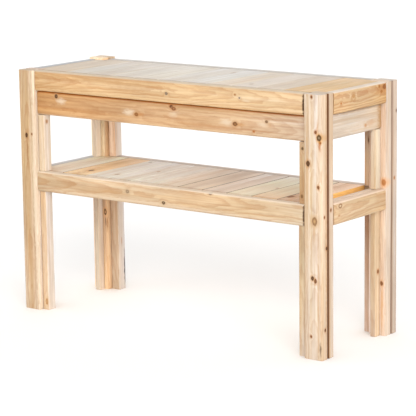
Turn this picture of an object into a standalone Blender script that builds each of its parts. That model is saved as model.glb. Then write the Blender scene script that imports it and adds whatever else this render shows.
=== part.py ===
"""Potting bench in unfinished cedar.

Four built-up legs carry a framed slat top and a framed slat shelf. Each leg is
two full-height boards laid face to face, with short blocks on its two inner
faces that the aprons and the shelf rails stand on.

Metres, +Z up. X runs along the bench, Y runs back from the front face, and the
origin is on the floor under the middle of the bench.
"""

import bpy

# Overall size, measured over the legs.
LENGTH = 1.348
DEPTH = 0.475
HEIGHT = 0.902

# Lumber.
BOARD_THICKNESS = 0.038
BOARD_WIDTH = 0.075
APRON_WIDTH = 0.0885
BOARD_EDGE_RADIUS = 0.009
BLOCK_EDGE_RADIUS = 0.004
EDGE_SEGMENTS = 3
FIT_GAP = 0.0005

# Legs: blocks beside the boards carry the long aprons, and blocks behind the
# boards carry the end aprons. They stick out of the boards by their reach.
INNER_BOARD_THICKNESS = 0.036
LEG_DEPTH = BOARD_THICKNESS + INNER_BOARD_THICKNESS
LONG_BLOCK_REACHES = {
    "lower": {"front_left": 0.030, "front_right": 0.032, "back_left": 0.041, "back_right": 0.028},
    "upper": {"front_left": 0.031, "front_right": 0.029, "back_left": 0.036, "back_right": 0.028},
}
LONG_BLOCK_SETBACK = 0.018
END_BLOCK_REACH = 0.031
END_BLOCK_SETBACKS = {-1: 0.033, 1: 0.024}
END_BLOCK_THICKNESS = 0.023
BACK_LEFT_LEG_PROUD = 0.006

# Rails stand back a little from the outer faces of the legs. Each one butts the
# leg at its left or back end, and stands a little off the leg at its other end.
LONG_RAIL_SETBACK = 0.008
END_RAIL_SETBACK = 0.002
LONG_APRON_SETBACK = 0.018
END_APRON_SETBACK = 0.022
RAIL_END_GAP = 0.003
SHELF_TOP = 0.527
SHELF_RAIL_BOTTOM = SHELF_TOP - BOARD_WIDTH
TOP_RAIL_BOTTOM = HEIGHT - BOARD_WIDTH
APRON_TOP = TOP_RAIL_BOTTOM - FIT_GAP
APRON_BOTTOM = APRON_TOP - APRON_WIDTH

# Slats run front to back between the rails, on cleats fixed inside the rails.
SLAT_THICKNESS = 0.022
SLAT_PITCH = 0.1073
SLAT_GAP = 0.002
SLAT_LENGTH = DEPTH - 2 * (LONG_RAIL_SETBACK + BOARD_THICKNESS) - SLAT_GAP
SLAT_EDGE_RADIUS = 0.003
SLAT_COUNT = 11
SLATS_REACH = LENGTH / 2 - END_RAIL_SETBACK - BOARD_THICKNESS
TOP_SLAT_DROP = 0.001
SHELF_FIRST_JOINT = -0.504
CLEAT_SIZE = 0.030

# Colour (linear RGB), roughness and metallic value of each kind of stock.
STOCK = {
    "cedar_pale": ((0.76, 0.60, 0.42), 0.72, 0.0),
    "cedar_tan": ((0.66, 0.44, 0.24), 0.74, 0.0),
    "cedar_orange": ((0.70, 0.36, 0.13), 0.72, 0.0),
    "cedar_weathered": ((0.68, 0.62, 0.54), 0.80, 0.0),
}

# Stock of the slats, from left to right.
TOP_SLAT_STOCK = ["cedar_weathered"] * 10 + ["cedar_orange"]
SHELF_SLAT_STOCK = (["cedar_tan", "cedar_orange"] + ["cedar_weathered"] * 3
                    + ["cedar_tan"] * 6)

CORNERS = {
    "front_left": (-1, -1),
    "front_right": (1, -1),
    "back_left": (-1, 1),
    "back_right": (1, 1),
}


def clear_scene():
    for old in list(bpy.data.objects):
        bpy.data.objects.remove(old, do_unlink=True)


def new_collection(name):
    collection = bpy.data.collections.new(name)
    bpy.context.scene.collection.children.link(collection)
    return collection


def make_material(name):
    colour, roughness, metallic = STOCK[name]
    material = bpy.data.materials.new(name)
    material.use_nodes = True
    shader = material.node_tree.nodes["Principled BSDF"]
    shader.inputs["Base Color"].default_value = (*colour, 1.0)
    shader.inputs["Roughness"].default_value = roughness
    shader.inputs["Metallic"].default_value = metallic
    return material


def move_to(collection, piece):
    for old in list(piece.users_collection):
        old.objects.unlink(piece)
    collection.objects.link(piece)


def box(name, xs, ys, zs):
    """A plain box between the given limits, with its scale applied."""
    size = [high - low for low, high in (xs, ys, zs)]
    centre = [(high + low) / 2 for low, high in (xs, ys, zs)]
    bpy.ops.mesh.primitive_cube_add(size=1.0, location=centre)
    piece = bpy.context.object
    piece.name = name
    for vertex in piece.data.vertices:
        vertex.co = [c * s for c, s in zip(vertex.co, size)]
    return piece


def round_long_edges(piece, radius):
    """Bevel only the edges that run along the piece's longest side."""
    mesh = piece.data
    corner = mesh.vertices[0].co
    axis = max(range(3), key=lambda i: abs(corner[i]))
    weights = mesh.attributes.new("bevel_weight_edge", "FLOAT", "EDGE")
    for edge in mesh.edges:
        a, b = (mesh.vertices[i].co for i in edge.vertices)
        weights.data[edge.index].value = float(abs(a[axis] - b[axis]) > 1e-6)
    bevel = piece.modifiers.new("Eased edges", "BEVEL")
    bevel.limit_method = "WEIGHT"
    bevel.width = radius
    bevel.segments = EDGE_SEGMENTS


def finish(piece, stock, collection):
    piece.data.materials.append(materials[stock])
    move_to(collection, piece)
    return piece


def board(name, xs, ys, zs, stock, edge_radius=BOARD_EDGE_RADIUS):
    """A length of lumber: square-sawn ends, rounded long edges."""
    piece = box(name, xs, ys, zs)
    round_long_edges(piece, edge_radius)
    return finish(piece, stock, bench)


def inward(side, half_size, near, far):
    """Limits that lie near..far in from the outer face on the given side."""
    return sorted((side * (half_size - near), side * (half_size - far)))


def make_leg(corner):
    side_x, side_y = CORNERS[corner]
    height = HEIGHT + (BACK_LEFT_LEG_PROUD if corner == "back_left" else 0.0)

    def along(near, far):
        return inward(side_x, LENGTH / 2, near, far)

    def across(near, far):
        return inward(side_y, DEPTH / 2, near, far)

    half_gap = FIT_GAP / 2
    face = "cedar_tan" if side_x < 0 else "cedar_pale"
    board(f"{corner}_leg_outer_board", along(0, BOARD_WIDTH),
          across(0, BOARD_THICKNESS - half_gap), (0, height), face)
    board(f"{corner}_leg_inner_board", along(0, BOARD_WIDTH),
          across(BOARD_THICKNESS + half_gap, LEG_DEPTH), (0, height), "cedar_pale")

    long_block_depth = (LONG_BLOCK_SETBACK, LONG_BLOCK_SETBACK + BOARD_THICKNESS)
    behind_boards = (LEG_DEPTH + FIT_GAP, LEG_DEPTH + END_BLOCK_REACH)
    end_block_setback = END_BLOCK_SETBACKS[side_x]
    end_block_depth = (end_block_setback, end_block_setback + END_BLOCK_THICKNESS)
    heights = {
        "lower": (0, SHELF_RAIL_BOTTOM - FIT_GAP),
        "upper": (SHELF_TOP + FIT_GAP, APRON_BOTTOM - FIT_GAP),
    }
    for level, zs in heights.items():
        beside_boards = (BOARD_WIDTH + FIT_GAP, BOARD_WIDTH + LONG_BLOCK_REACHES[level][corner])
        board(f"{corner}_leg_long_side_block_{level}", along(*beside_boards),
              across(*long_block_depth), zs, "cedar_tan", BLOCK_EDGE_RADIUS)
        board(f"{corner}_leg_end_block_{level}", along(*end_block_depth),
              across(*behind_boards), zs, "cedar_tan", BLOCK_EDGE_RADIUS)


def make_frame(name, setbacks, zs, long_stock, end_stock):
    """Two long rails and two end rails, each fitted between two legs."""
    long_depth, end_depth = ((setback, setback + BOARD_THICKNESS) for setback in setbacks)
    reach_x = LENGTH / 2 - BOARD_WIDTH
    reach_y = DEPTH / 2 - LEG_DEPTH
    for end, side in (("front", -1), ("back", 1)):
        board(f"{name}_{end}", (FIT_GAP - reach_x, reach_x - RAIL_END_GAP),
              inward(side, DEPTH / 2, *long_depth), zs, long_stock)
    for end, side in (("left", -1), ("right", 1)):
        board(f"{name}_{end}", inward(side, LENGTH / 2, *end_depth),
              (RAIL_END_GAP - reach_y, reach_y - FIT_GAP), zs, end_stock)


def top_slat_limits():
    """Left and right limits of each place in the top: wide, nine narrow, wide."""
    joints = [(i - SLAT_COUNT / 2) * SLAT_PITCH for i in range(1, SLAT_COUNT)]
    return list(zip([-SLATS_REACH] + joints, joints + [SLATS_REACH]))


def shelf_slat_limits():
    """A wide slat at the left, then narrow ones that leave a gap at the right."""
    joints = [SHELF_FIRST_JOINT + i * SLAT_PITCH for i in range(SLAT_COUNT)]
    return list(zip([-SLATS_REACH] + joints, joints))


def make_slats(name, limits, top, stocks):
    slats = []
    for number, ((left, right), stock) in enumerate(zip(limits, stocks), start=1):
        xs = (left + SLAT_GAP / 2, right - SLAT_GAP / 2)
        piece = box(f"{name}_{number:02d}", xs, (-SLAT_LENGTH / 2, SLAT_LENGTH / 2),
                    (top - SLAT_THICKNESS, top))
        round_long_edges(piece, SLAT_EDGE_RADIUS)
        slats.append(finish(piece, stock, bench))
    return slats


def cut(piece, cutter):
    cutter.hide_render = True
    cutter.display_type = "WIRE"
    move_to(cutters, cutter)
    boolean = piece.modifiers.new("Cut", "BOOLEAN")
    boolean.operation = "DIFFERENCE"
    boolean.solver = "EXACT"
    boolean.object = cutter


def notch_for_legs(slat):
    """A slat that reaches past two legs is cut around them."""
    reach_x = LENGTH / 2 - BOARD_WIDTH - 2 * FIT_GAP
    reach_y = DEPTH / 2 - LEG_DEPTH - 2 * FIT_GAP
    side = 1 if slat.location.x > 0 else -1
    for end in (-1, 1):
        cutter = box(f"{slat.name}_notch", sorted((side * reach_x, side * LENGTH / 2)),
                     sorted((end * reach_y, end * DEPTH / 2)),
                     (slat.location.z - SLAT_THICKNESS, slat.location.z + SLAT_THICKNESS))
        cut(slat, cutter)


def make_shelf_cleats():
    """Bearers along the inside of the long shelf rails, under the slat ends."""
    top = SHELF_TOP - SLAT_THICKNESS - FIT_GAP
    outer = LONG_RAIL_SETBACK + BOARD_THICKNESS + FIT_GAP
    reach_x = LENGTH / 2 - BOARD_WIDTH - 2 * FIT_GAP
    for end, side in (("front", -1), ("back", 1)):
        piece = box(f"shelf_cleat_{end}", (-reach_x, reach_x),
                    inward(side, DEPTH / 2, outer, outer + CLEAT_SIZE),
                    (top - CLEAT_SIZE, top))
        finish(piece, "cedar_pale", bench)


clear_scene()
bench = new_collection("potting_bench")
cutters = new_collection("cutters")
materials = {name: make_material(name) for name in STOCK}

for corner_name in CORNERS:
    make_leg(corner_name)

rail_setbacks = (LONG_RAIL_SETBACK, END_RAIL_SETBACK)
apron_setbacks = (LONG_APRON_SETBACK, END_APRON_SETBACK)
make_frame("top_rail", rail_setbacks, (TOP_RAIL_BOTTOM, HEIGHT), "cedar_tan", "cedar_tan")
make_frame("apron", apron_setbacks, (APRON_BOTTOM, APRON_TOP), "cedar_tan", "cedar_pale")
make_frame("shelf_rail", rail_setbacks, (SHELF_RAIL_BOTTOM, SHELF_TOP), "cedar_tan",
           "cedar_tan")

top_surface = HEIGHT - TOP_SLAT_DROP
top_slats = make_slats("top_slat", top_slat_limits(), top_surface, TOP_SLAT_STOCK)
shelf_slats = make_slats("shelf_slat", shelf_slat_limits(), SHELF_TOP, SHELF_SLAT_STOCK)
for end_slat in (top_slats[0], top_slats[-1], shelf_slats[0]):
    notch_for_legs(end_slat)
make_shelf_cleats()
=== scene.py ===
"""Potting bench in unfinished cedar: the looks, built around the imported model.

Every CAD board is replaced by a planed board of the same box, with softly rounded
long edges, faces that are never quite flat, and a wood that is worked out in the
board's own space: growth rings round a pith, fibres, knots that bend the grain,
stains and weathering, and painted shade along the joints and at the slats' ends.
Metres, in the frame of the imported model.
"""

import math
import random
from dataclasses import dataclass, field
from operator import mul

import bpy
from mathutils import Matrix, Vector, noise


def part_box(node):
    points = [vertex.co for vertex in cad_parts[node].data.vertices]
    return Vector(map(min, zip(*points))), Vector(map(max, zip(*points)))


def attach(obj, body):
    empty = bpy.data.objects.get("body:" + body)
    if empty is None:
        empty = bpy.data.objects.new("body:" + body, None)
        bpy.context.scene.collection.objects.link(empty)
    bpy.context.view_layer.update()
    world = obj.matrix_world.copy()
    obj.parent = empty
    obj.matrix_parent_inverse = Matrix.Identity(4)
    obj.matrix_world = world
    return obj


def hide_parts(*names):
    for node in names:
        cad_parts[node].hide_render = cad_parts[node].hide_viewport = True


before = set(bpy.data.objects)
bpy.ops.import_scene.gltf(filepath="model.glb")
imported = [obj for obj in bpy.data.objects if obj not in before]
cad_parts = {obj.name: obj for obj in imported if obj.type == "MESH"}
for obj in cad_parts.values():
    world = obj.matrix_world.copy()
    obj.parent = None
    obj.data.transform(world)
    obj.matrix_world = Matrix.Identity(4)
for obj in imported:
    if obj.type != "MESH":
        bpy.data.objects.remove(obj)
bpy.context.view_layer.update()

X, Y, Z = Vector((1, 0, 0)), Vector((0, 1, 0)), Vector((0, 0, 1))

# ---------------------------------------------------------------- wood: what it can be told

# How much light reaches a face, as a share of what makes plain white look white.
OPEN_SIDE = 1.60
OPEN_TOP = 1.28
SHELF = 0.77
SHELF_RAIL_TOP = 1.08
RECESS = 1.38

# The highest albedo that any wood has.
PALEST = 0.95


def albedo(colour, light, warmth=0.0):
    """The albedo of a wood that looks like this 8-bit sRGB colour under so much light.

    warmth: how much of the blue the light has lost to the wood that it came by.
    """
    shares = [value / 255 for value in colour]
    seen = [c / 12.92 if c <= 0.04045 else ((c + 0.055) / 1.055) ** 2.4 for c in shares]
    lights = [light, light * (1 - warmth / 2), light * (1 - warmth)]
    return (*(min(value / part, PALEST) for value, part in zip(seen, lights)), 1.0)


PALE_HALO = (240, 218, 190)
RED_HALO = (206, 130, 66)
BLACK_KNOT = (70, 42, 26)
BROWN_KNOT = (120, 72, 40)
RED_BROWN_KNOT = (92, 52, 28)
GREY_KNOT = (128, 112, 96)


@dataclass
class Knot:
    """A knot on a board.

    along: from the board's low end. across: from its centre line, along the board's
    own Y. edge: 0 for the wide face, else the side (+1 or -1) of the narrow face that
    it is on, and across is then along the board's own Z.
    """
    along: float
    across: float
    radius: float
    stretch: float = 1.3
    edge: int = 0
    core: tuple = BROWN_KNOT
    halo: tuple = (196, 128, 68)
    halo_strength: float = 0.6
    heart: float = 0.15
    push: float = 0.004


@dataclass
class StainAndShade:
    """A soft patch of another colour, as long and as wide as it says: a stain in the wood, and in a few
    places painted shade.
    """
    along: float
    across: float
    length: float
    width: float
    colour: tuple
    strength: float = 0.5
    edge: int = 0


@dataclass
class Look:
    """The wood of one board. Tones run along the board, from its low end to its high end.

    top: the colour that weather gives to a face that looks up. sides: the tone of each
    narrow face that differs from the wide one, by its side, +1 or -1, under side_light.
    middle: the tone down the middle of a wide face that differs from its rims.
    seam: the side, on the board's own Z, where it lies against another board, and where
    shade is painted along the joint. end_shade: how dark the shade painted at each end of
    the board is.
    bands: how strongly pale sapwood and warm heartwood alternate across the board.
    light, warmth: the light at the board, as albedo() takes it.
    """
    tones: tuple
    late_wood: tuple = (176, 116, 66)
    contrast: float = 0.35
    streaks: float = 0.42
    bands: float = 0.52
    pith: tuple = (0.012, -0.055)
    ring_pitch: float = 0.0042
    slope: float = 0.012
    grey: float = 0.35
    top: tuple = (226, 217, 205)
    middle: tuple = None
    middle_strength: float = 0.4
    sides: dict = field(default_factory=dict)
    side_light: float = OPEN_SIDE
    end_shade: float = 0.0
    marks: tuple = ()
    light: float = OPEN_SIDE
    warmth: float = 0.0
    top_light: float = OPEN_TOP
    seam: int = 0
    seam_shade_strength: float = 0.2


# ---------------------------------------------------------------- wood: its nodes


class Tree:
    """Short calls that add nodes to a node tree, one call for each step of the wood."""

    def __init__(self, tree):
        self.tree = tree

    def node(self, kind, inputs=None, **settings):
        """A new node with these settings, and with these values or sockets fed to its inputs."""
        node = self.tree.nodes.new(kind)
        for key, value in settings.items():
            setattr(node, key, value)
        self.feed(node, inputs or {})
        return node

    def feed(self, node, inputs):
        for key, value in inputs.items():
            socket = node.inputs[key]
            if isinstance(value, bpy.types.NodeSocket):
                self.tree.links.new(value, socket)
            else:
                socket.default_value = value

    def math(self, operation, a, b=0.0):
        return self.node("ShaderNodeMath", {0: a, 1: b}, operation=operation).outputs[0]

    def plus(self, a, b):
        return self.math("ADD", a, b)

    def minus(self, a, b):
        return self.math("SUBTRACT", a, b)

    def times(self, a, b):
        return self.math("MULTIPLY", a, b)

    def swing(self, value, size):
        """A noise in 0..1 as a swing about zero, size from end to end."""
        return self.times(self.minus(value, 0.5), size)

    def vector(self, operation, a, b):
        node = self.node("ShaderNodeVectorMath", {0: a, 1: b}, operation=operation)
        return node.outputs["Value" if operation == "LENGTH" else "Vector"]

    def fade(self, value, low, high, out_low=0.0, out_high=1.0):
        """A smooth step from out_low to out_high while value goes from low to high."""
        inputs = {"Value": value, "From Min": low, "From Max": high, "To Min": out_low, "To Max": out_high}
        return self.node("ShaderNodeMapRange", inputs, interpolation_type="SMOOTHSTEP").outputs["Result"]

    def noise(self, place, stretch, detail=2.0, roughness=0.5):
        """Noise in 0..1, at so many cycles to the metre on each axis."""
        scaled = self.vector("MULTIPLY", place, stretch)
        inputs = {"Vector": scaled, "Scale": 1.0, "Detail": detail, "Roughness": roughness}
        return self.node("ShaderNodeTexNoise", inputs).outputs["Fac"]

    def mix(self, factor, a, b, blend="MIX"):
        inputs = {0: factor, 6: a, 7: b}
        return self.node("ShaderNodeMix", inputs, data_type="RGBA", blend_type=blend).outputs[2]

    def ramp(self, factor, stops):
        node = self.node("ShaderNodeValToRGB", {"Fac": factor})
        elements = node.color_ramp.elements
        while len(elements) < len(stops):
            elements.new(0.5)
        for element, (position, colour) in zip(elements, stops):
            element.position = position
            element.color = colour
        return node.outputs["Color"]


RIM_STRETCH = (60, 190, 190)


def make_mark_group():
    """Distance from a mark's centre, in units of the mark's own radii, with a ragged rim."""
    group = bpy.data.node_groups.new("mark distance", "ShaderNodeTree")
    for name in ("Place", "Centre", "Inverse Radii"):
        group.interface.new_socket(name, in_out="INPUT", socket_type="NodeSocketVector")
    group.interface.new_socket("Ragged", in_out="INPUT", socket_type="NodeSocketFloat")
    group.interface.new_socket("Distance", in_out="OUTPUT", socket_type="NodeSocketFloat")
    tree = Tree(group)
    source = tree.node("NodeGroupInput").outputs
    away = tree.vector("SUBTRACT", source["Place"], source["Centre"])
    scaled = tree.vector("MULTIPLY", away, source["Inverse Radii"])
    distance = tree.vector("LENGTH", scaled, (0, 0, 0))
    wobble = tree.noise(source["Place"], RIM_STRETCH, detail=3.0)
    ragged = tree.plus(distance, tree.swing(wobble, source["Ragged"]))
    tree.node("NodeGroupOutput", {"Distance": ragged})
    return group


MARK_GROUP = make_mark_group()

# The shade painted in a joint, and how far it reaches from the joint: its rim and its core.
SEAM_PAINTED_SHADE = (110, 60, 12)
SEAM_REACH = (0.009, 0.003)
CORNER_REACH = (0.011, 0.004)
END_REACH = (0.009, 0.002)

# What a band of sapwood or of heartwood, or a pale streak, does to the wood round it.
SAPWOOD = (1.16, 1.28, 1.50, 1.0)
HEARTWOOD = (0.90, 0.80, 0.65, 1.0)
PALE_FIBRES = (1.0, 0.95, 0.88, 1.0)

# The noises in the wood. stretch: cycles to the metre along, across and through a board.
PITH_WANDER = {"stretch": (1.6, 4.0, 4.0), "detail": 2.0}
RING_RIPPLE = {"stretch": (14.0, 40.0, 40.0), "detail": 3.0, "roughness": 0.65}
FIBRES = {"stretch": (14.0, 900.0, 900.0), "detail": 2.0}
STREAKS = {"stretch": (2.4, 105.0, 105.0), "detail": 3.0, "roughness": 0.6}
BANDS = {"stretch": (0.9, 46.0, 46.0), "detail": 3.0, "roughness": 0.6}
CLOUDS = {"stretch": (4.0, 14.0, 14.0), "detail": 3.0, "roughness": 0.55}
NOISE_SHIFT = 30
WANDER_SIZE = 0.040
RIPPLE_SIZE = 0.007
TONE_DRIFT = 0.16

# Where each feature starts and ends to show, as values of the noise or distance it comes from.
RING_RISE = (0.25, 0.86)
RING_FALL = (1.0, 0.88)
SAPWOOD_RISE = (0.52, 0.66)
HEARTWOOD_RISE = (0.48, 0.34)
DARK_STREAK_RISE = (0.48, 0.82)
PALE_STREAK_RISE = (0.50, 0.22)
MIDDLE_FALL = (0.1, 0.8)
STAIN_AND_SHADE_FALL = (0.15, 1.25)
KNOT_BODY_FALL = (0.75, 1.25)
KNOT_HEART_FALL = (0.0, 0.8)
KNOT_HALO_FALL = (0.9, 2.3)
KNOT_PUSH_FALL = (0.6, 4.0)
UPWARD_RISE = (0.40, 0.85)

# Where a narrow face's own tone starts and is full, in from the face, in roundings of the edge.
SIDE_RISE = (1.0, 0.2)

# What a noise does to the colour or the weathering: where it starts and ends, and how much.
BLOTCH = (0.3, 0.7, 0.90, 1.06)
FLECK = (0.25, 0.75, 0.90, 1.07)
PATCHY = (0.2, 0.7, 0.75, 1.0)

PALE_STREAK_STRENGTH = 0.35
KNOT_STRENGTH = 0.92
KNOT_DEPTH = 0.012
KNOT_DEPTH_RATIO = 3
KNOT_RAGGED = 0.8
STAIN_AND_SHADE_DEPTH = 40.0
STAIN_AND_SHADE_RAGGED = 1.5

LATE_RELIEF, FIBRE_RELIEF, STREAK_RELIEF = 0.5, 0.8, 0.4
BUMP = {"Strength": 0.35, "Distance": 0.0006}
EARLY_ROUGHNESS = 0.74
LATE_SMOOTHING = 0.10
FIBRE_ROUGHENING = 0.16
SPECULAR = 0.10


class Wood:
    """The cedar of one board, worked out in the board's own space, a method for each step."""

    def __init__(self, tree, look, size, rounding, chance):
        self.tree, self.look, self.size, self.rounding = tree, look, size, rounding
        self.place = tree.node("ShaderNodeTexCoord").outputs["Object"]
        shift = tuple(chance.uniform(-NOISE_SHIFT, NOISE_SHIFT) for _ in range(3))
        self.moved = tree.vector("ADD", self.place, shift)
        axes = tree.node("ShaderNodeSeparateXYZ", {"Vector": self.place})
        self.along, self.across, self.deep = axes.outputs
        knots = [mark for mark in look.marks if isinstance(mark, Knot)]
        self.knots = [(knot, self.knot_distance(knot)) for knot in knots]
        self.late = self.late_wood()
        self.fibre = tree.noise(self.moved, **FIBRES)
        self.streak = tree.noise(self.moved, **STREAKS)
        self.band = tree.noise(self.moved, **BANDS)
        self.cloud = tree.noise(self.moved, **CLOUDS)

    def tone(self, colour):
        return albedo(colour, self.look.light, self.look.warmth)

    def distance_to(self, mark, radii, ragged):
        """radii: half length, half width and depth of the mark's ellipsoid."""
        length, width, thickness = self.size
        along = mark.along - length / 2
        half_length, half_width, depth = radii
        if mark.edge:
            centre = (along, mark.edge * width / 2, mark.across)
            inverse = (1 / half_length, 1 / depth, 1 / half_width)
        else:
            centre = (along, mark.across, thickness / 2)
            inverse = (1 / half_length, 1 / half_width, 1 / depth)
        inputs = {"Place": self.place, "Centre": centre, "Inverse Radii": inverse, "Ragged": ragged}
        return self.tree.node("ShaderNodeGroup", inputs, node_tree=MARK_GROUP).outputs["Distance"]

    def knot_distance(self, knot):
        depth = max(KNOT_DEPTH_RATIO * knot.radius, KNOT_DEPTH)
        return self.distance_to(knot, (knot.radius * knot.stretch, knot.radius, depth), KNOT_RAGGED)

    def late_wood(self):
        """Growth rings: distance from a pith that wanders along the board, pushed aside by knots."""
        tree, look = self.tree, self.look
        wander = tree.swing(tree.noise(self.moved, **PITH_WANDER), WANDER_SIZE)
        ripple = tree.swing(tree.noise(self.moved, **RING_RIPPLE), RIPPLE_SIZE)
        side = tree.minus(self.across, look.pith[0])
        height = tree.minus(self.deep, look.pith[1])
        square = tree.plus(tree.times(side, side), tree.times(height, height))
        slope = tree.times(self.along, look.slope)
        radius = tree.plus(tree.math("SQRT", square), slope)
        radius = tree.plus(radius, tree.plus(wander, ripple))
        for knot, spread in self.knots:
            radius = tree.plus(radius, tree.fade(spread, *KNOT_PUSH_FALL, knot.push, 0.0))
        rings = tree.math("FRACT", tree.times(radius, 1 / look.ring_pitch))
        return tree.times(tree.fade(rings, *RING_RISE), tree.fade(rings, *RING_FALL))

    def base_colour(self):
        """Tones along the board, then its middle and its narrow faces."""
        tree, look = self.tree, self.look
        length, width, _ = self.size
        last = max(1, len(look.tones) - 1)
        run = tree.plus(tree.times(self.along, 1 / length), 0.5)
        run = tree.plus(run, tree.swing(self.cloud, TONE_DRIFT))
        colour = tree.ramp(run, [(i / last, self.tone(tone)) for i, tone in enumerate(look.tones)])
        if look.middle:
            off_centre = tree.math("ABSOLUTE", tree.times(self.across, 2 / width))
            off_centre = tree.plus(off_centre, tree.minus(self.cloud, 0.5))
            middle = tree.fade(off_centre, *MIDDLE_FALL, look.middle_strength, 0.0)
            colour = tree.mix(middle, colour, self.tone(look.middle))
        for side, tone in look.sides.items():
            outward = tree.times(self.across, side)
            on_side = tree.fade(outward, *(width / 2 - part * self.rounding for part in SIDE_RISE))
            colour = tree.mix(on_side, colour, albedo(tone, look.side_light, look.warmth))
        return colour

    def with_grain(self, colour):
        """Bands of sapwood and heartwood, rings, streaks, patches and flecks."""
        tree, look = self.tree, self.look
        sapwood = tree.fade(self.band, *SAPWOOD_RISE, 0.0, look.bands)
        colour = tree.mix(sapwood, colour, SAPWOOD, "MULTIPLY")
        heartwood = tree.fade(self.band, *HEARTWOOD_RISE, 0.0, look.bands)
        colour = tree.mix(heartwood, colour, HEARTWOOD, "MULTIPLY")
        rings = tree.times(self.late, look.contrast)
        colour = tree.mix(rings, colour, self.tone(look.late_wood))
        dark_streak = tree.fade(self.streak, *DARK_STREAK_RISE, 0.0, look.streaks)
        colour = tree.mix(dark_streak, colour, self.tone(look.late_wood))
        pale_streak = tree.fade(self.streak, *PALE_STREAK_RISE, 0.0, PALE_STREAK_STRENGTH)
        colour = tree.mix(pale_streak, colour, PALE_FIBRES, "SOFT_LIGHT")
        blotch = tree.fade(self.cloud, *BLOTCH)
        colour = tree.mix(1.0, colour, blotch, "MULTIPLY")
        fleck = tree.fade(self.fibre, *FLECK)
        return tree.mix(1.0, colour, fleck, "MULTIPLY")

    def with_marks(self, colour):
        """Stains and patches of painted shade, then knots: halo, body and heart. Also gives where the
        knots' bodies are.
        """
        tree = self.tree
        for stain_and_shade in self.look.marks:
            if isinstance(stain_and_shade, StainAndShade):
                radii = (stain_and_shade.length / 2, stain_and_shade.width / 2, STAIN_AND_SHADE_DEPTH)
                spread = self.distance_to(stain_and_shade, radii, STAIN_AND_SHADE_RAGGED)
                cover = tree.fade(spread, *STAIN_AND_SHADE_FALL, stain_and_shade.strength, 0.0)
                colour = tree.mix(cover, colour, self.tone(stain_and_shade.colour))
        bodies = None
        for knot, spread in self.knots:
            halo = tree.fade(spread, *KNOT_HALO_FALL, knot.halo_strength, 0.0)
            colour = tree.mix(halo, colour, self.tone(knot.halo))
            body = tree.fade(spread, *KNOT_BODY_FALL, KNOT_STRENGTH, 0.0)
            heart = tree.fade(spread, *KNOT_HEART_FALL, knot.heart, 0.0)
            colour = tree.mix(body, colour, self.tone(knot.core))
            colour = tree.mix(heart, colour, self.tone(knot.halo))
            bodies = body if bodies is None else tree.math("MAXIMUM", bodies, body)
        return colour, bodies

    def with_weather(self, colour):
        """Faces that look up go grey and pale."""
        tree, look = self.tree, self.look
        normal = tree.node("ShaderNodeNewGeometry").outputs["Normal"]
        facing = tree.node("ShaderNodeSeparateXYZ", {"Vector": normal})
        upward = tree.fade(facing.outputs[2], *UPWARD_RISE)
        patchy = tree.fade(self.cloud, *PATCHY)
        grey = tree.times(tree.times(upward, patchy), look.grey)
        return tree.mix(grey, colour, albedo(look.top, look.top_light))

    def with_joints(self, colour):
        """Painted shade at a slat's ends, and along the groove of a joint with the next board."""
        tree, look = self.tree, self.look
        length, width, thickness = self.size
        if look.end_shade:
            from_middle = tree.math("ABSOLUTE", self.along)
            rim, core = (length / 2 - reach for reach in END_REACH)
            at_end = tree.fade(from_middle, rim, core, 0.0, look.end_shade)
            colour = tree.mix(at_end, colour, self.tone(SEAM_PAINTED_SHADE))
        if look.seam:
            towards_seam = tree.times(self.deep, look.seam)
            at_seam = tree.fade(towards_seam, *(thickness / 2 - reach for reach in SEAM_REACH))
            off_centre = tree.math("ABSOLUTE", self.across)
            at_corner = tree.fade(off_centre, *(width / 2 - reach for reach in CORNER_REACH))
            shade = tree.times(tree.times(at_seam, at_corner), look.seam_shade_strength)
            colour = tree.mix(shade, colour, self.tone(SEAM_PAINTED_SHADE))
        return colour

    def bumps(self, knot_bodies):
        """Late wood stands proud, and knots sink."""
        tree = self.tree
        relief = tree.plus(tree.times(self.late, LATE_RELIEF), tree.times(self.fibre, FIBRE_RELIEF))
        relief = tree.plus(relief, tree.times(self.streak, STREAK_RELIEF))
        if knot_bodies is not None:
            relief = tree.minus(relief, knot_bodies)
        return tree.node("ShaderNodeBump", {**BUMP, "Height": relief}).outputs["Normal"]

    def roughness(self):
        """Late wood is a little smoother than early wood."""
        tree = self.tree
        rough = tree.minus(EARLY_ROUGHNESS, tree.times(self.late, LATE_SMOOTHING))
        return tree.plus(rough, tree.swing(self.fibre, FIBRE_ROUGHENING))


def dull_material(name):
    """A new material that hardly shines, and its shader node."""
    material = bpy.data.materials.new(name)
    material.use_nodes = True
    shader = material.node_tree.nodes["Principled BSDF"]
    shader.inputs["Specular IOR Level"].default_value = SPECULAR
    return material, shader


def wood_material(name, look, size, rounding, seed):
    """Cedar for one board. size: the board's length, width and thickness."""
    material, shader = dull_material(name)
    tree = Tree(material.node_tree)
    wood = Wood(tree, look, size, rounding, random.Random(seed))
    colour, knot_bodies = wood.with_marks(wood.with_grain(wood.base_colour()))
    colour = wood.with_joints(wood.with_weather(colour))
    tree.feed(shader, {"Base Color": colour, "Roughness": wood.roughness(),
                       "Normal": wood.bumps(knot_bodies)})
    return material


# ---------------------------------------------------------------- boards

EDGE_ROUND = 0.009
PLACE_ROUND = {"slat": 0.003, "cleat": 0.003, "_block": 0.004}
ARC_STEPS = 6
STATION_SPACING = 0.022
END_CHAMFER = 0.0008
FLAT_SPACING = 0.016
SHARPEST_ROUND = 0.0005
FACE_DIP = 0.00045
DIPS_PER_METRE = (2.5, 14.0, 14.0)
DIPS_SHIFT = Vector((7.31, 3.17, 1.93))
SMOOTH_ANGLE = math.radians(35)


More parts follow.
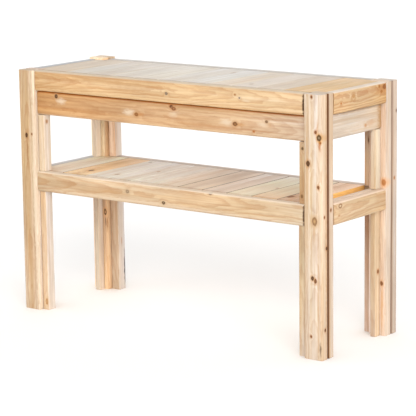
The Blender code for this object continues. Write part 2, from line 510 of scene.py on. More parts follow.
def rounded_section(width, thickness, radius, inset=0.0):
    """Points round a rectangle with rounded corners, its flats divided."""
    half_y, half_z = width / 2 - inset, thickness / 2 - inset
    radius = max(radius - inset, SHARPEST_ROUND)
    arcs = []
    for side_y, side_z, start in ((1, 1, 0), (-1, 1, 90), (-1, -1, 180), (1, -1, 270)):
        centre = Vector((side_y * (half_y - radius), side_z * (half_z - radius)))
        angles = [math.radians(start + 90 * step / ARC_STEPS) for step in range(ARC_STEPS + 1)]
        arcs.append([centre + radius * Vector((math.cos(angle), math.sin(angle))) for angle in angles])
    points = []
    for arc, next_arc in zip(arcs, arcs[1:] + arcs[:1]):
        last, first = arc[-1], next_arc[0]
        divisions = max(2, round((first - last).length / FLAT_SPACING))
        points += arc + [last.lerp(first, i / divisions) for i in range(1, divisions)]
    return points


def lumber_mesh(name, size, radius, seed):
    """A board with its length on X. Its faces dip inward by less than half a millimetre."""
    length, width, thickness = size
    count = max(3, round(length / STATION_SPACING))
    inner = length / 2 - END_CHAMFER
    stations = [-length / 2] + [-inner + 2 * inner * i / count for i in range(count + 1)] + [length / 2]
    full = rounded_section(width, thickness, radius)
    end = rounded_section(width, thickness, radius, inset=END_CHAMFER)
    shift = seed * DIPS_SHIFT
    vertices = []
    for number, x in enumerate(stations):
        section = end if number in (0, len(stations) - 1) else full
        for y, z in section:
            spot = Vector(map(mul, (x, y, z), DIPS_PER_METRE)) + shift
            dip = FACE_DIP * (0.5 + 0.5 * noise.noise(spot))
            vertices.append((x, y * (1 - dip / (width / 2)), z * (1 - dip / (thickness / 2))))
    around = len(full)
    faces = []
    for row in range(len(stations) - 1):
        for k in range(around):
            a, b = row * around + k, row * around + (k + 1) % around
            faces.append((a, b, b + around, a + around))
    faces.append(tuple(reversed(range(around))))
    faces.append(tuple(range((len(stations) - 1) * around, len(stations) * around)))
    mesh = bpy.data.meshes.new(name)
    mesh.from_pydata(vertices, [], faces)
    mesh.shade_smooth()
    mesh.set_sharp_from_angle(angle=SMOOTH_ANGLE)
    return mesh


def add_board(name, low, high, length_axis, face_axis, radius, look, seed):
    """A board that fills the box low..high, with its best face towards face_axis."""
    width_axis = face_axis.cross(length_axis)
    span = high - low
    size = tuple(abs(span.dot(axis)) for axis in (length_axis, width_axis, face_axis))
    piece = bpy.data.objects.new(name, lumber_mesh(name, size, radius, seed))
    bpy.context.scene.collection.objects.link(piece)
    turn = Matrix((length_axis, width_axis, face_axis)).transposed().to_4x4()
    piece.matrix_world = Matrix.Translation((low + high) / 2) @ turn
    piece.data.materials.append(wood_material(f"{name} cedar", look, size, radius, seed))
    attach(piece, "root")
    return piece


def cut_away(piece, boxes):
    """Cuts boxes, given by their low and high corners in the frame, out of a piece."""
    cutters = []
    for low, high in boxes:
        bpy.ops.mesh.primitive_cube_add(size=1.0, location=(low + high) / 2)
        cutter = bpy.context.object
        cutter.scale = high - low
        boolean = piece.modifiers.new("Notch", "BOOLEAN")
        boolean.operation = "DIFFERENCE"
        boolean.object = cutter
        cutters.append(cutter)
    bpy.context.view_layer.update()
    graph = bpy.context.evaluated_depsgraph_get()
    mesh = bpy.data.meshes.new_from_object(piece.evaluated_get(graph))
    piece.modifiers.clear()
    piece.data = mesh
    for cutter in cutters:
        bpy.data.objects.remove(cutter, do_unlink=True)


# ---------------------------------------------------------------- looks of the boards

# Painted shadow: the dark line where a front rail's right end meets a leg.
PAINTED_END_SHADOW = (74, 42, 16)
# Painted shade: the dark edges of shelf slats along the gaps between them.
JOINT_PAINTED_SHADE = (120, 82, 52)
PALE_JOINT = (190, 154, 118)

LOOKS = {}
# Front frames, left to right.
LOOKS["top_rail_front"] = Look(
    tones=((225, 182, 130), (231, 192, 143), (236, 200, 153), (244, 210, 165), (248, 216, 173)),
    contrast=0.32, pith=(0.004, -0.036), slope=0.022, ring_pitch=0.005, streaks=0.5,
    grey=0.85, top=(217, 202, 180), late_wood=(190, 126, 66), sides={-1: (246, 206, 156)},
    marks=(Knot(0.616, -0.004, 0.005, core=GREY_KNOT, halo=(214, 178, 136)),
           Knot(0.913, 0.013, 0.0032, core=(170, 118, 74), halo=(214, 168, 118)),
           Knot(0.932, 0.003, 0.0032, core=GREY_KNOT, halo=PALE_HALO),
           StainAndShade(0.15, 0.012, 0.2, 0.018, (186, 132, 84), 0.45),
           StainAndShade(0.56, 0.014, 0.1, 0.01, (196, 140, 90), 0.45),
           StainAndShade(0.87, 0.006, 0.1, 0.02, (222, 172, 118), 0.4),
           StainAndShade(0.96, -0.004, 0.04, 0.01, PALE_HALO, 0.6),
           StainAndShade(0.25, 0.03, 0.9, 0.014, (206, 162, 116), 0.55),
           StainAndShade(0.3, -0.03, 0.8, 0.014, (240, 204, 156), 0.6),
           # Painted shadow at the rail's right end, where it meets the leg.
           StainAndShade(1.193, 0.0, 0.009, 0.11, PAINTED_END_SHADOW, 0.95)))
LOOKS["apron_front"] = Look(
    tones=((211, 160, 106), (219, 173, 124), (224, 183, 139), (225, 186, 142), (228, 193, 154),
           (231, 204, 176)),
    contrast=0.24, pith=(-0.01, -0.075), slope=0.01, streaks=0.6, ring_pitch=0.0046,
    # The top edge's dark warm tone is painted shade, under the rail's overhang.
    grey=0.0, late_wood=(172, 108, 58), sides={1: (186, 108, 40), -1: (240, 204, 164)},
    marks=(Knot(0.095, 0.03, 0.007, core=BLACK_KNOT, halo=(208, 160, 112), stretch=1.1, heart=0.3),
           StainAndShade(0.117, 0.014, 0.055, 0.026, PALE_HALO, 0.75),
           Knot(0.471, -0.007, 0.0066, core=(142, 88, 46), halo=(206, 150, 92), stretch=1.4, heart=0.4),
           StainAndShade(0.492, -0.006, 0.036, 0.016, (198, 134, 74), 0.6),
           Knot(0.63, 0.032, 0.006, core=(78, 40, 22), halo=(188, 118, 64), heart=0.0),
           Knot(0.64, 0.025, 0.006, core=(128, 78, 46), halo=(206, 150, 104), stretch=1.5, heart=0.5),
           Knot(0.905, -0.007, 0.007, core=(118, 76, 46), halo=(204, 146, 90), stretch=1.4, heart=0.5),
           StainAndShade(0.93, -0.007, 0.04, 0.016, (202, 144, 86), 0.55),
           Knot(0.984, -0.027, 0.0032, core=(176, 112, 62), halo=RED_HALO),
           Knot(1.037, 0.011, 0.0048, core=(120, 88, 62), halo=(206, 164, 120), heart=0.3),
           StainAndShade(1.05, 0.0, 0.02, 0.022, (204, 156, 108)),
           StainAndShade(1.022, 0.0, 0.05, 0.022, PALE_HALO, 0.55),
           StainAndShade(0.44, -0.002, 0.075, 0.026, PALE_HALO, 0.8),
           StainAndShade(0.64, 0.006, 0.05, 0.03, PALE_HALO, 0.45),
           StainAndShade(0.872, -0.004, 0.07, 0.03, PALE_HALO, 0.75),
           StainAndShade(0.21, -0.014, 0.4, 0.02, (190, 130, 78), 0.45),
           StainAndShade(0.76, -0.022, 0.36, 0.016, (198, 142, 92), 0.45)))
LOOKS["shelf_rail_front"] = Look(
    tones=((220, 192, 157), (232, 203, 168), (233, 206, 172), (233, 201, 162), (235, 206, 168),
           (239, 216, 185)),
    contrast=0.36, streaks=0.5, pith=(0.006, -0.04), slope=0.024, ring_pitch=0.0056,
    grey=0.85, top=(234, 218, 198), late_wood=(190, 132, 76),
    marks=(Knot(0.431, 0.005, 0.0065, core=(158, 132, 104), halo=(214, 186, 150), heart=0.5),
           Knot(0.595, -0.019, 0.006, core=BLACK_KNOT, halo=(216, 182, 142), heart=0.6),
           Knot(0.802, 0.035, 0.0045, core=(110, 76, 50), halo=(214, 170, 124), stretch=1.8),
           StainAndShade(0.52, -0.028, 1.1, 0.02, (238, 214, 184), 0.65),
           StainAndShade(0.145, 0.01, 0.14, 0.016, (186, 140, 94), 0.45),
           StainAndShade(0.36, -0.004, 0.16, 0.014, (206, 160, 112), 0.45),
           # Painted shadow at the rail's right end, where it meets the leg.
           StainAndShade(1.193, 0.0, 0.009, 0.11, PAINTED_END_SHADOW, 0.9)))
# Right-hand frames, front to back.
LOOKS["top_rail_right"] = Look(
    tones=((229, 190, 142), (233, 194, 147), (226, 192, 147), (221, 186, 143), (222, 186, 138),
           (212, 169, 116)),
    contrast=0.46, pith=(0.02, -0.028), slope=0.04, ring_pitch=0.0056, streaks=0.5,
    grey=0.95, top=(233, 221, 207), late_wood=(182, 118, 62),
    marks=(Knot(0.118, 0.012, 0.006, core=(196, 146, 94), halo=(206, 162, 112), heart=0.6, push=0.007),
           Knot(0.312, 0.022, 0.0085, core=(150, 92, 50), halo=(196, 130, 70)),
           Knot(0.293, 0.008, 0.0055, core=(176, 112, 60), halo=(204, 146, 88)),
           Knot(0.279, 0.027, 0.0045, core=(170, 108, 58), halo=(204, 146, 88)),
           StainAndShade(0.29, 0.014, 0.09, 0.04, (198, 142, 86), 0.55),
           Knot(0.042, -0.004, 0.0036, core=(188, 112, 56), halo=(212, 160, 106)),
           StainAndShade(0.23, 0.018, 0.22, 0.026, (190, 130, 80), 0.45)))
LOOKS["apron_right"] = Look(
    tones=((229, 212, 195), (229, 211, 192), (226, 209, 190), (227, 208, 188), (226, 205, 182),
           (224, 200, 172)),
    contrast=0.12, streaks=0.3, pith=(-0.02, -0.08), grey=0.0, late_wood=(196, 150, 108),
    marks=(Knot(0.224, -0.02, 0.005, core=(206, 156, 112), halo=(214, 172, 132)),
           StainAndShade(0.16, 0.04, 0.4, 0.016, (200, 166, 132), 0.6),
           StainAndShade(0.258, -0.014, 0.07, 0.03, (214, 168, 124), 0.55),
           StainAndShade(0.325, 0.0, 0.058, 0.3, (198, 156, 108), 0.92)))
LOOKS["shelf_rail_right"] = Look(
    tones=((227, 193, 153), (230, 200, 162), (229, 198, 159), (228, 198, 159), (222, 185, 143)),
    contrast=0.38, pith=(0.01, -0.036), slope=0.03, ring_pitch=0.0056,
    grey=0.85, top=(240, 218, 198), late_wood=(190, 132, 78),
    marks=(Knot(0.038, 0.025, 0.0086, core=(150, 104, 64), halo=(238, 210, 174), halo_strength=0.4,
                heart=0.95),
           Knot(0.03, -0.008, 0.0025, core=(190, 150, 108))))
LOOKS["top_rail_left"] = Look(tones=((229, 190, 142), (226, 186, 140)), grey=1.0, top=(190, 196, 202))
LOOKS["top_rail_back"] = Look(tones=((229, 190, 142), (226, 186, 140)), grey=1.0, top=(209, 206, 202))
LOOKS["shelf_rail_left"] = Look(tones=((229, 196, 156), (226, 192, 152)), grey=1.0, top=(211, 211, 213))
LOOKS["shelf_rail_back"] = Look(tones=((229, 196, 156), (226, 192, 152)), grey=1.0, top=(218, 204, 194))
# Legs, bottom to top. The seam strengths set how dark the shade painted along the joint between a leg's
# boards is.
LOOKS["front_left_leg_outer_board"] = Look(
    tones=((225, 203, 177), (222, 196, 166), (225, 202, 170), (222, 196, 157), (218, 189, 150),
           (224, 199, 167)),
    contrast=0.34, pith=(0.004, -0.034), slope=0.018, middle=(208, 170, 122), middle_strength=0.6,
    sides={-1: (245, 226, 202)}, side_light=1.22, seam_shade_strength=0.15,
    marks=(StainAndShade(0.45, -0.03, 1.2, 0.018, (244, 222, 194), 0.85),
           StainAndShade(0.45, -0.014, 1.2, 0.008, (236, 208, 180), 0.6),
           StainAndShade(0.45, 0.035, 1.2, 0.01, (230, 218, 202), 0.8),
           StainAndShade(0.56, 0.02, 0.7, 0.01, (196, 158, 108)),
           Knot(0.66, 0.003, 0.0058, core=BLACK_KNOT, halo=(176, 122, 72), stretch=1.6),
           Knot(0.666, -0.023, 0.0032, halo=(190, 140, 92)),
           StainAndShade(0.6, 0.001, 0.13, 0.01, (168, 116, 70), 0.7),
           StainAndShade(0.3, 0.006, 0.4, 0.014, (206, 158, 106), 0.4)))
LOOKS["front_left_leg_long_side_block_upper"] = Look(
    tones=((230, 206, 175), (233, 207, 176), (232, 205, 171)), contrast=0.14, streaks=0.25,
    sides={-1: (234, 212, 188)}, side_light=1.15,
    marks=(Knot(0.185, 0.003, 0.0045, edge=-1, core=(190, 140, 100)),))
LOOKS["front_left_leg_long_side_block_lower"] = Look(
    tones=((225, 191, 154), (225, 192, 156), (217, 181, 141)), contrast=0.2,
    sides={-1: (235, 214, 193)}, side_light=1.4,
    marks=(Knot(0.031, -0.004, 0.0058, core=(178, 122, 70), halo=(222, 186, 142), stretch=2.2, heart=0.6),))
LOOKS["front_right_leg_outer_board"] = Look(
    tones=((238, 217, 195), (234, 210, 184), (238, 216, 192), (235, 210, 180), (237, 212, 184),
           (239, 218, 194)),
    contrast=0.22, bands=0.6, pith=(-0.006, -0.04), slope=0.014,
    middle=(244, 230, 212), middle_strength=0.5, sides={-1: (242, 216, 187)}, seam_shade_strength=0.9,
    marks=(StainAndShade(0.45, 0.034, 1.2, 0.012, (206, 170, 128), 0.75),
           # This tan stripe down the right side, near the joint with the inner board, is painted shade.
           StainAndShade(0.52, -0.0075, 1.2, 0.013, (204, 150, 96), 0.7, edge=-1),
           StainAndShade(0.64, 0.022, 0.7, 0.006, (214, 172, 120), 0.65),
           StainAndShade(0.56, 0.006, 0.46, 0.008, (216, 178, 122), 0.55),
           StainAndShade(0.7, -0.012, 0.4, 0.009, (246, 234, 218), 0.7),
           StainAndShade(0.25, 0.014, 0.44, 0.009, (244, 230, 212), 0.6),
           StainAndShade(0.2, -0.022, 0.36, 0.006, (212, 168, 116), 0.55),
           Knot(0.893, 0.003, 0.0035),
           Knot(0.777, -0.013, 0.0045, halo=RED_HALO),
           Knot(0.759, -0.026, 0.0082, core=(84, 58, 34), halo=(220, 160, 84), halo_strength=0.75,
                heart=0.0),
           Knot(0.759, -0.026, 0.0034, core=(156, 134, 104), halo_strength=0.0, push=0.0),
           Knot(0.742, -0.031, 0.0028, core=(150, 88, 40), halo=(214, 146, 72)),
           Knot(0.67, 0.018, 0.0075, core=BLACK_KNOT, halo=(206, 146, 88)),
           Knot(0.593, -0.023, 0.005, halo=(216, 156, 96)),
           Knot(0.477, -0.008, 0.0098, core=(150, 112, 76), halo=(222, 178, 126), stretch=1.5, heart=0.8),
           Knot(0.282, 0.001, 0.006, core=BLACK_KNOT, halo=(214, 158, 104)),
           Knot(0.273, -0.011, 0.005, halo=(214, 158, 104), stretch=1.6),
           Knot(0.08, 0.007, 0.0035),
           StainAndShade(0.735, -0.028, 0.05, 0.011, (190, 116, 52), 0.75),
           StainAndShade(0.79, -0.02, 0.06, 0.01, (222, 160, 100), 0.45),
           StainAndShade(0.44, -0.006, 0.07, 0.014, (222, 176, 126), 0.55),
           StainAndShade(0.038, -0.03, 0.05, 0.009, (112, 88, 62), 0.9),
           Knot(0.491, 0.004, 0.0036, edge=-1),
           Knot(0.384, -0.008, 0.0045, edge=-1, core=BLACK_KNOT),
           Knot(0.104, 0.0, 0.0042, edge=-1, core=BLACK_KNOT)))
LOOKS["front_right_leg_inner_board"] = Look(
    tones=((229, 204, 182), (228, 205, 183), (229, 207, 184), (226, 201, 174), (224, 196, 166),
           (229, 199, 169)),
    contrast=0.12, streaks=0.3, seam_shade_strength=0.95, sides={-1: (229, 204, 178)},
    marks=(StainAndShade(0.8, 0.0, 0.36, 0.09, (216, 184, 150), 0.6, edge=-1),
           Knot(0.51, 0.002, 0.0042, edge=-1),))
LOOKS["front_right_leg_long_side_block_upper"] = Look(
    tones=((194, 152, 110), (203, 166, 122), (213, 180, 139), (203, 173, 138)), contrast=0.3,
    marks=(Knot(0.187, 0.0, 0.0042, core=(96, 72, 48), halo=(176, 138, 96)),
           Knot(0.025, 0.003, 0.005, core=(122, 84, 50), halo=(180, 136, 92))))
LOOKS["front_right_leg_long_side_block_lower"] = Look(
    tones=((232, 207, 179), (225, 195, 157), (223, 193, 153), (215, 183, 143)), contrast=0.24)
LOOKS["back_left_leg_inner_board"] = Look(
    tones=((225, 193, 153), (207, 174, 140), (190, 154, 124), (242, 218, 182), (240, 216, 180),
           (230, 202, 166)),
    contrast=0.25, sides={-1: (212, 176, 137)}, side_light=0.95,
    marks=(Knot(0.308, -0.028, 0.0062, core=(56, 32, 18), halo=(206, 158, 112), stretch=2.0, heart=0.95),
           StainAndShade(0.268, -0.029, 0.06, 0.004, (86, 52, 28), 0.9),
           StainAndShade(0.262, -0.035, 0.09, 0.004, (140, 90, 52), 0.8)))
LOOKS["back_left_leg_end_block_lower"] = Look(
    tones=((214, 194, 170), (214, 194, 170), (209, 184, 158), (200, 170, 143)), contrast=0.14,
    sides={-1: (214, 191, 166)}, side_light=1.12)
LOOKS["back_left_leg_end_block_upper"] = Look(
    tones=((220, 197, 171), (218, 194, 169), (214, 189, 164)), contrast=0.14,
    sides={-1: (218, 199, 175)}, side_light=0.85)
LOOKS["back_left_leg_long_side_block_lower"] = Look(
    tones=((214, 186, 156), (218, 190, 161), (221, 189, 157), (199, 160, 127)), contrast=0.26,
    sides={-1: (217, 200, 184)}, side_light=1.24,
    marks=(StainAndShade(0.08, -0.014, 0.18, 0.013, (34, 40, 54), 0.9, edge=-1),
           StainAndShade(0.19, 0.001, 0.04, 0.006, (176, 120, 76), 0.8, edge=-1)))
LOOKS["back_left_leg_long_side_block_upper"] = Look(
    tones=((214, 182, 152), (218, 186, 156), (211, 180, 150)), contrast=0.24,
    sides={-1: (221, 208, 195)}, side_light=1.05)
LOOKS["back_right_leg_outer_board"] = Look(
    tones=((218, 197, 181), (217, 194, 176), (221, 198, 179), (226, 206, 188), (229, 209, 192),
           (233, 217, 202)),
    contrast=0.1, streaks=0.3, seam_shade_strength=0.55, sides={1: (219, 199, 181)},
    marks=(StainAndShade(0.1, 0.0, 0.4, 0.09, (198, 176, 156), 0.6, edge=1),
           Knot(0.795, 0.008, 0.0042, edge=1, core=(110, 84, 62), halo=(196, 166, 140)),
           Knot(0.56, -0.004, 0.0036, edge=1, core=(176, 120, 80))))
LOOKS["back_right_leg_inner_board"] = Look(
    tones=((232, 209, 189), (230, 205, 184), (231, 206, 182), (231, 202, 176), (230, 200, 173),
           (232, 201, 172)),
    contrast=0.18, streaks=0.34, seam_shade_strength=0.3, sides={-1: (230, 208, 186)},
    marks=(Knot(0.55, -0.026, 0.0085, core=(176, 112, 62), halo=(216, 152, 92)),
           Knot(0.189, -0.019, 0.0062, halo=(212, 156, 104)),
           StainAndShade(0.11, -0.021, 0.2, 0.011, (212, 160, 108), 0.6)))
LOOKS["back_right_leg_end_block_lower"] = Look(
    tones=((203, 177, 153), (210, 182, 150), (216, 186, 150), (222, 190, 152)), contrast=0.22,
    sides={-1: (236, 203, 164)}, side_light=1.54,
    marks=(Knot(0.234, -0.001, 0.0055, edge=-1),))
LOOKS["back_right_leg_end_block_upper"] = Look(
    tones=((234, 207, 172), (232, 208, 176), (236, 212, 184)), contrast=0.16,
    sides={-1: (240, 219, 188)}, side_light=1.5)
LOOKS["back_right_leg_long_side_block_lower"] = Look(
    tones=((200, 170, 149), (196, 166, 143), (183, 150, 125), (166, 131, 106)), contrast=0.25)
LOOKS["back_right_leg_long_side_block_upper"] = Look(
    tones=((191, 160, 131), (187, 159, 131), (171, 147, 128)), contrast=0.26,
    marks=(Knot(0.163, -0.008, 0.005, core=(62, 40, 30), halo=(120, 86, 64), stretch=1.9),))
# Slats, front to back. The dark tone on some slats' edges, along the gaps between them, is painted shade.
LOOKS["shelf_slat_01"] = Look(
    tones=((219, 197, 171), (222, 203, 179), (232, 207, 170)), contrast=0.26,
    middle=(205, 172, 136), sides={-1: PALE_JOINT})
LOOKS["shelf_slat_02"] = Look(
    tones=((226, 194, 152), (218, 184, 142), (216, 184, 144), (211, 181, 147)), contrast=0.3,
    middle=(204, 162, 114), grey=0.05,
    marks=(Knot(0.086, -0.008, 0.0075, core=BLACK_KNOT, halo=(196, 134, 76), stretch=1.9),))
LOOKS["shelf_slat_03"] = Look(
    tones=((231, 214, 196), (227, 213, 197), (224, 215, 203), (225, 219, 211)), contrast=0.2,
    middle=(208, 188, 166),
    marks=(Knot(0.073, -0.036, 0.007, core=(150, 112, 82), halo=(206, 178, 150), stretch=2.0),
           Knot(0.344, 0.027, 0.006, core=GREY_KNOT, halo=(200, 184, 168))))
LOOKS["shelf_slat_04"] = Look(
    tones=((232, 215, 195), (227, 212, 197), (222, 210, 196), (219, 211, 202)), contrast=0.2,
    middle=(210, 186, 160),
    marks=(Knot(0.2, -0.02, 0.006, core=(160, 118, 84), halo=(206, 176, 146)),))
LOOKS["shelf_slat_05"] = Look(
    tones=((232, 217, 199), (226, 213, 199), (223, 210, 197), (218, 207, 195)), contrast=0.2,
    middle=(212, 190, 166))
LOOKS["shelf_slat_06"] = Look(
    tones=((226, 203, 176), (219, 197, 172), (210, 188, 165), (210, 190, 170)), contrast=0.26,
    middle=(198, 164, 130), sides={-1: JOINT_PAINTED_SHADE, 1: PALE_JOINT})
LOOKS["shelf_slat_07"] = Look(
    tones=((226, 202, 174), (212, 187, 161), (206, 184, 162), (216, 197, 179)), contrast=0.26,
    middle=(182, 152, 126), middle_strength=0.55, sides={-1: JOINT_PAINTED_SHADE, 1: JOINT_PAINTED_SHADE})
LOOKS["shelf_slat_08"] = Look(
    tones=((222, 199, 174), (212, 190, 167), (217, 199, 182), (226, 213, 202)), contrast=0.22,
    middle=(186, 160, 138), middle_strength=0.5, sides={-1: JOINT_PAINTED_SHADE, 1: JOINT_PAINTED_SHADE})
LOOKS["shelf_slat_09"] = Look(
    tones=((233, 205, 173), (228, 201, 172), (242, 213, 184), (250, 226, 202)), contrast=0.12,
    streaks=0.22, middle=(204, 176, 146), middle_strength=0.2, sides={-1: PALE_JOINT, 1: JOINT_PAINTED_SHADE},
    marks=(Knot(0.164, -0.044, 0.0045),))
LOOKS["shelf_slat_10"] = Look(
    tones=((222, 183, 141), (240, 206, 172), (244, 211, 180), (240, 210, 183)), contrast=0.16, streaks=0.22,
    middle=(212, 182, 146), middle_strength=0.2, sides={-1: JOINT_PAINTED_SHADE, 1: PALE_JOINT})
LOOKS["shelf_slat_11"] = Look(
    tones=((202, 179, 156), (208, 176, 145), (219, 194, 170), (218, 194, 172)), contrast=0.34,
    middle=(188, 140, 94), grey=0.0, sides={-1: (209, 160, 92)}, side_light=SHELF,
    marks=(Knot(0.059, 0.04, 0.01, halo=(160, 112, 70), stretch=1.6),))
LOOKS["top_slat_01"] = Look(
    tones=((211, 190, 163), (215, 199, 178), (217, 202, 184), (221, 208, 191)), bands=0.4, contrast=0.22,
    marks=(StainAndShade(0.18, 0.058, 0.4, 0.024, (186, 150, 116), 0.6),
           Knot(0.345, 0.024, 0.006, core=(150, 112, 80), halo=(206, 180, 152))))


def silver_slat(number, contrast, tones, *marks):
    """A slat of the top that has weathered to an even silver."""
    LOOKS[f"top_slat_{number:02}"] = Look(tones, contrast=contrast, bands=0.25, marks=marks)


silver_slat(2, 0.12, ((215, 205, 189), (218, 214, 205), (219, 214, 205), (222, 212, 202)))
silver_slat(3, 0.12, ((220, 208, 192), (219, 212, 201), (223, 216, 208), (220, 217, 211)),
            StainAndShade(0.18, -0.034, 0.1, 0.02, (198, 176, 150)))
silver_slat(4, 0.1, ((229, 219, 206), (224, 218, 207), (225, 220, 211), (225, 222, 215)))
silver_slat(5, 0.1, ((228, 219, 205), (229, 223, 209), (230, 225, 214), (229, 225, 214)))
silver_slat(6, 0.1, ((228, 219, 206), (226, 221, 213), (226, 221, 214), (227, 226, 224)))
silver_slat(7, 0.08, ((230, 223, 213), (228, 227, 222), (226, 225, 220), (226, 227, 227)),
            Knot(0.292, 0.044, 0.006, core=(150, 112, 80), halo=(200, 176, 152), stretch=2.4))
silver_slat(8, 0.16, ((234, 219, 200), (233, 218, 198), (230, 218, 200), (228, 216, 201)),
            StainAndShade(0.17, -0.024, 0.34, 0.026, (222, 182, 140)))
silver_slat(9, 0.12, ((233, 220, 205), (230, 218, 205), (231, 219, 207), (227, 217, 206)),
            Knot(0.071, 0.018, 0.007, core=(140, 108, 80), halo=(200, 180, 156)))
silver_slat(10, 0.18, ((224, 208, 188), (219, 202, 182), (221, 205, 185), (219, 203, 187)),
            StainAndShade(0.11, 0.01, 0.18, 0.022, (194, 168, 142)))
LOOKS["top_slat_11"] = Look(
    tones=((235, 203, 160), (232, 200, 156), (232, 202, 161), (230, 202, 167)), contrast=0.26,
    grey=0.0, late_wood=(204, 150, 92))

FAMILY_TONES = {
    "apron": (224, 186, 142),
    "block": (222, 188, 152),
    "inner_board": (230, 203, 174),
    "outer_board": (226, 196, 160),
    "cleat": (226, 198, 160),
}

# The light at each place, by the first of these words that is in the node's name.
PLACE_LIGHT = {
    "top_slat": OPEN_TOP,
    "shelf_slat_01": 0.72,
    "shelf_slat_09": 0.73,
    "shelf_slat": SHELF,
    "back_left_leg_long_side_block_upper": 0.76,
    "back_left_leg_inner_board": 0.90,
    "back_right_leg_inner_board": 1.15,
    "back_right_leg_long_side_block_lower": 1.18,
    "back_right_leg_long_side_block_upper": 0.95,
    "back_right_leg_end_block_upper": 1.30,
    "back_left_leg_end_block_upper": 1.10,
    "front_right_leg_long_side_block_lower": 1.55,
    "_block": RECESS,
    "back_left": RECESS,
}

# The warmth of the light at each place, found in the same way.
PLACE_WARMTH = {"back_left": 0.08, "_block": 0.08, "back_right_leg_inner": 0.05, "shelf_slat": 0.08}

# The ranges that a plain board's wood is drawn from.
TONE_SCATTER = (0.97, 1.03)
PLAIN_KNOTS = 2
KNOT_ALONG, KNOT_ACROSS, KNOT_RADIUS = (0.1, 0.5), (-0.025, 0.025), (0.003, 0.007)
PITH_ACROSS, PITH_DOWN = (-0.02, 0.02), (0.03, 0.07)


def plain_look(node, chance):
    """The wood of a board that has no look of its own: the kind its place calls for."""
    tone = next(tone for word, tone in FAMILY_TONES.items() if word in node)
    tones = tuple(tuple(c * chance.uniform(*TONE_SCATTER) for c in tone) for _ in range(4))
    count = 0 if "block" in node else PLAIN_KNOTS
    marks = tuple(Knot(chance.uniform(*KNOT_ALONG), chance.uniform(*KNOT_ACROSS),
                       chance.uniform(*KNOT_RADIUS), core=RED_BROWN_KNOT) for _ in range(count))
    pith = (chance.uniform(*PITH_ACROSS), -chance.uniform(*PITH_DOWN))
    return Look(tones=tones, contrast=0.24, pith=pith, slope=0.02, marks=marks)


def facing_of(node, low, high):
    """Length axis and best-face axis of a CAD board, from its box and its place."""
    if "slat" in node:
        return Y, Z
    if "cleat" in node:
        return X, Z
    span = high - low
    length_axis = (X, Y, Z)[max(range(3), key=lambda i: span[i])]
    if length_axis == X:
        return X, (Y if "back" in node else -Y)
    if length_axis == Y:
        return Y, (X if "right" in node else -X)
    return Z, (Y if low.y > 0 and "outer" in node else -Y)


def seam_of(node):
    """The side of a board, on its own Z, that lies along a joint and gets painted shade there, or 0 if it
    has none.

    A leg's two boards meet face to face, and a rail's back meets the ends of the slats.
    """
    if "outer_board" in node or "rail" in node:
        return -1
    if "inner_board" in node:
        return 1 if "front" in node else -1
    return 0


# Where the random draws of each kind of piece start, so that no two pieces share them.
LOOK_SEED = 1000
CLEAT_LOOK_SEED = 2000
CLEAT_SEED = 90
BATTEN_SEED = 95

TOP_CLEAT_SIZE = 0.030
BATTEN_WIDTH = 0.022
BATTEN_HEIGHT = 0.045
PIECE_GAP = 0.0005
SMALL_ROUND = PLACE_ROUND["cleat"]


def build_top_cleats():
    """Bearers under the ends of the top's slats, like the ones under the shelf's."""
    slat_low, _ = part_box("top_slat_06")
    _, left_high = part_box("front_left_leg_outer_board")
    right_low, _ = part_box("front_right_leg_outer_board")
    top = slat_low.z - PIECE_GAP
    for number, (end, side) in enumerate((("front", -1), ("back", 1))):
        rail_low, rail_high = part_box(f"top_rail_{end}")
        inner_face = rail_high.y if side < 0 else rail_low.y
        near = inner_face - side * PIECE_GAP
        far = near - side * TOP_CLEAT_SIZE
        low = Vector((left_high.x + PIECE_GAP, min(near, far), top - TOP_CLEAT_SIZE))
        high = Vector((right_low.x - PIECE_GAP, max(near, far), top))
        look = plain_look("cleat", random.Random(CLEAT_LOOK_SEED + number))
        seed = CLEAT_SEED + number
        add_board(f"top_cleat_{end}", low, high, X, Z, SMALL_ROUND, look, seed)


def build_shelf_batten():
    """A batten along the inside of the shelf's right rail, their tops level."""
    rail_low, rail_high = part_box("shelf_rail_right")
    high = Vector((rail_low.x - PIECE_GAP, rail_high.y, rail_high.z - PIECE_GAP))
    low = Vector((high.x - BATTEN_WIDTH, rail_low.y, high.z - BATTEN_HEIGHT))
    look = Look(tones=((226, 202, 180), (228, 204, 182)), contrast=0.14, light=SHELF_RAIL_TOP,
                grey=0.85, top=(230, 208, 188), top_light=SHELF_RAIL_TOP)
    add_board("shelf_batten_right", low, high, Y, Z, SMALL_ROUND, look, BATTEN_SEED)


# How dark the shade painted at each end of a slat is, where it meets a rail.
SLAT_END_SHADE = 0.4
NOTCHED = ("top_slat_01", "top_slat_11", "shelf_slat_01")
NOTCH_CLEARANCE = 0.0005


def leg_notches(low, high):
    """The corners that a slat's box shares with the legs it passes."""
    side = "right" if high.x > 0 else "left"
    clearance = Vector((NOTCH_CLEARANCE,) * 3)
    boxes = []
    for end in ("front", "back"):
        board_low, board_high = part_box(f"{end}_{side}_leg_outer_board")
        other_low, other_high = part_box(f"{end}_{side}_leg_inner_board")
        leg_low, leg_high = Vector(map(min, board_low, other_low)), Vector(map(max, board_high, other_high))
        boxes.append((leg_low - clearance, leg_high + clearance))
    return boxes


def first_match(node, table, otherwise):
    """What the table gives for the first of its words that is in the node's name."""
    return next((value for word, value in table.items() if word in node), otherwise)


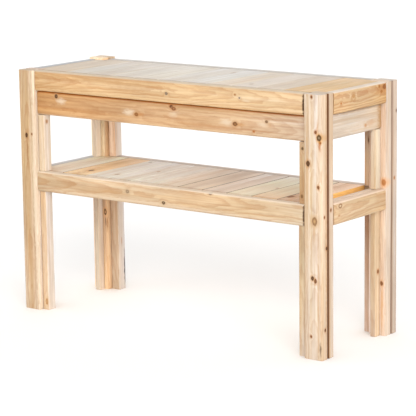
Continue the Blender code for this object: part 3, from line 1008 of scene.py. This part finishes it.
def build_boards():
    """Replaces each CAD board with a wooden one."""
    for number, node in enumerate(sorted(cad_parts)):
        low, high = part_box(node)
        length_axis, face_axis = facing_of(node, low, high)
        chance = random.Random(LOOK_SEED + number)
        look = LOOKS.get(node) or plain_look(node, chance)
        look.light = first_match(node, PLACE_LIGHT, OPEN_SIDE)
        look.warmth = first_match(node, PLACE_WARMTH, 0.0)
        look.top_light = SHELF_RAIL_TOP if "shelf_rail" in node else OPEN_TOP
        look.seam = seam_of(node)
        look.end_shade = SLAT_END_SHADE if "slat" in node else 0.0
        radius = first_match(node, PLACE_ROUND, EDGE_ROUND)
        piece = add_board(f"{node}_wood", low, high, length_axis, face_axis, radius,
                          look, number + 1)
        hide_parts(node)
        if node in NOTCHED:
            cut_away(piece, leg_notches(low, high))


build_boards()
build_top_cleats()
build_shelf_batten()

# ---------------------------------------------------------------- floor, light and camera

FLOOR_SIDE = 60.0
FLOOR_COLOUR = (0.93, 0.93, 0.93, 1)
FLOOR_ROUGHNESS = 0.9
TENT_WALL = 2.4
TENT_ROOF = 0.42
TENT_EDGE = (0.35, 0.75)
TENT_COLOUR = (1, 0.99, 0.98, 1)
KEY_STRENGTH = 1.56
KEY_SPREAD = math.radians(40)
KEY_TOWARDS = Vector((0.655, -0.655, 0.375))
KEY_COLOUR = (1.0, 0.99, 0.975)
CAMERA_AZIMUTH = math.radians(37.3408)
CAMERA_ELEVATION = math.radians(11.0142)
CAMERA_ROLL = math.radians(-0.7756)
CAMERA_DISTANCE = 7.0223
CAMERA_OFFSET = (0.0149, -0.0345)
CAMERA_TARGET = Vector((0, 0, 0.45))
CAMERA_LENS = 167.9
CAMERA_REACH = 200.0


def add_floor():
    """A plain pale floor, wide enough to have no edge in view."""
    bpy.ops.mesh.primitive_plane_add(size=FLOOR_SIDE)
    floor = bpy.context.object
    floor.name = "studio_floor"
    material, shader = dull_material("studio floor")
    shader.inputs["Base Color"].default_value = FLOOR_COLOUR
    shader.inputs["Roughness"].default_value = FLOOR_ROUGHNESS
    floor.data.materials.append(material)


def add_world():
    """A surround like a light tent: it looks white, and it is brightest low down."""
    world = bpy.data.worlds.new("studio")
    bpy.context.scene.world = world
    world.use_nodes = True
    tree = Tree(world.node_tree)
    world.node_tree.nodes.clear()
    place = tree.node("ShaderNodeTexCoord").outputs["Generated"]
    direction = tree.node("ShaderNodeSeparateXYZ", {"Vector": place})
    strength = tree.fade(direction.outputs[2], *TENT_EDGE, TENT_WALL, TENT_ROOF)
    seen = tree.node("ShaderNodeBackground", {"Color": (1, 1, 1, 1), "Strength": 1.0})
    lit = tree.node("ShaderNodeBackground", {"Color": TENT_COLOUR, "Strength": strength})
    rays = tree.node("ShaderNodeLightPath")
    shaders = {0: rays.outputs["Is Camera Ray"], 1: lit.outputs[0], 2: seen.outputs[0]}
    blend = tree.node("ShaderNodeMixShader", shaders)
    tree.node("ShaderNodeOutputWorld", {"Surface": blend.outputs[0]})


def add_key_light():
    """A soft light from far away, so that the floor is lit evenly."""
    light = bpy.data.lights.new("key_light", "SUN")
    light.energy = KEY_STRENGTH
    light.angle = KEY_SPREAD
    light.color = KEY_COLOUR
    lamp = bpy.data.objects.new("key_light", light)
    bpy.context.scene.collection.objects.link(lamp)
    lamp.rotation_mode = "QUATERNION"
    lamp.rotation_quaternion = KEY_TOWARDS.to_track_quat("Z", "Y")


def add_camera():
    """The camera at the photograph's angle, aimed at the middle of the bench."""
    away = Vector((math.sin(CAMERA_AZIMUTH) * math.cos(CAMERA_ELEVATION),
                   -math.cos(CAMERA_AZIMUTH) * math.cos(CAMERA_ELEVATION),
                   math.sin(CAMERA_ELEVATION)))
    right = Vector((math.cos(CAMERA_AZIMUTH), math.sin(CAMERA_AZIMUTH), 0))
    up = away.cross(right)
    across = right * math.cos(CAMERA_ROLL) + up * math.sin(CAMERA_ROLL)
    upright = up * math.cos(CAMERA_ROLL) - right * math.sin(CAMERA_ROLL)
    data = bpy.data.cameras.new("camera")
    data.lens = CAMERA_LENS
    data.clip_end = CAMERA_REACH
    camera = bpy.data.objects.new("camera", data)
    bpy.context.scene.collection.objects.link(camera)
    place = CAMERA_TARGET + away * CAMERA_DISTANCE + right * CAMERA_OFFSET[0] + up * CAMERA_OFFSET[1]
    turn = Matrix((across, upright, away)).transposed().to_4x4()
    camera.matrix_world = Matrix.Translation(place) @ turn
    bpy.context.scene.camera = camera


add_floor()
add_world()
add_key_light()
add_camera()
bpy.context.scene.view_settings.view_transform = "Standard"
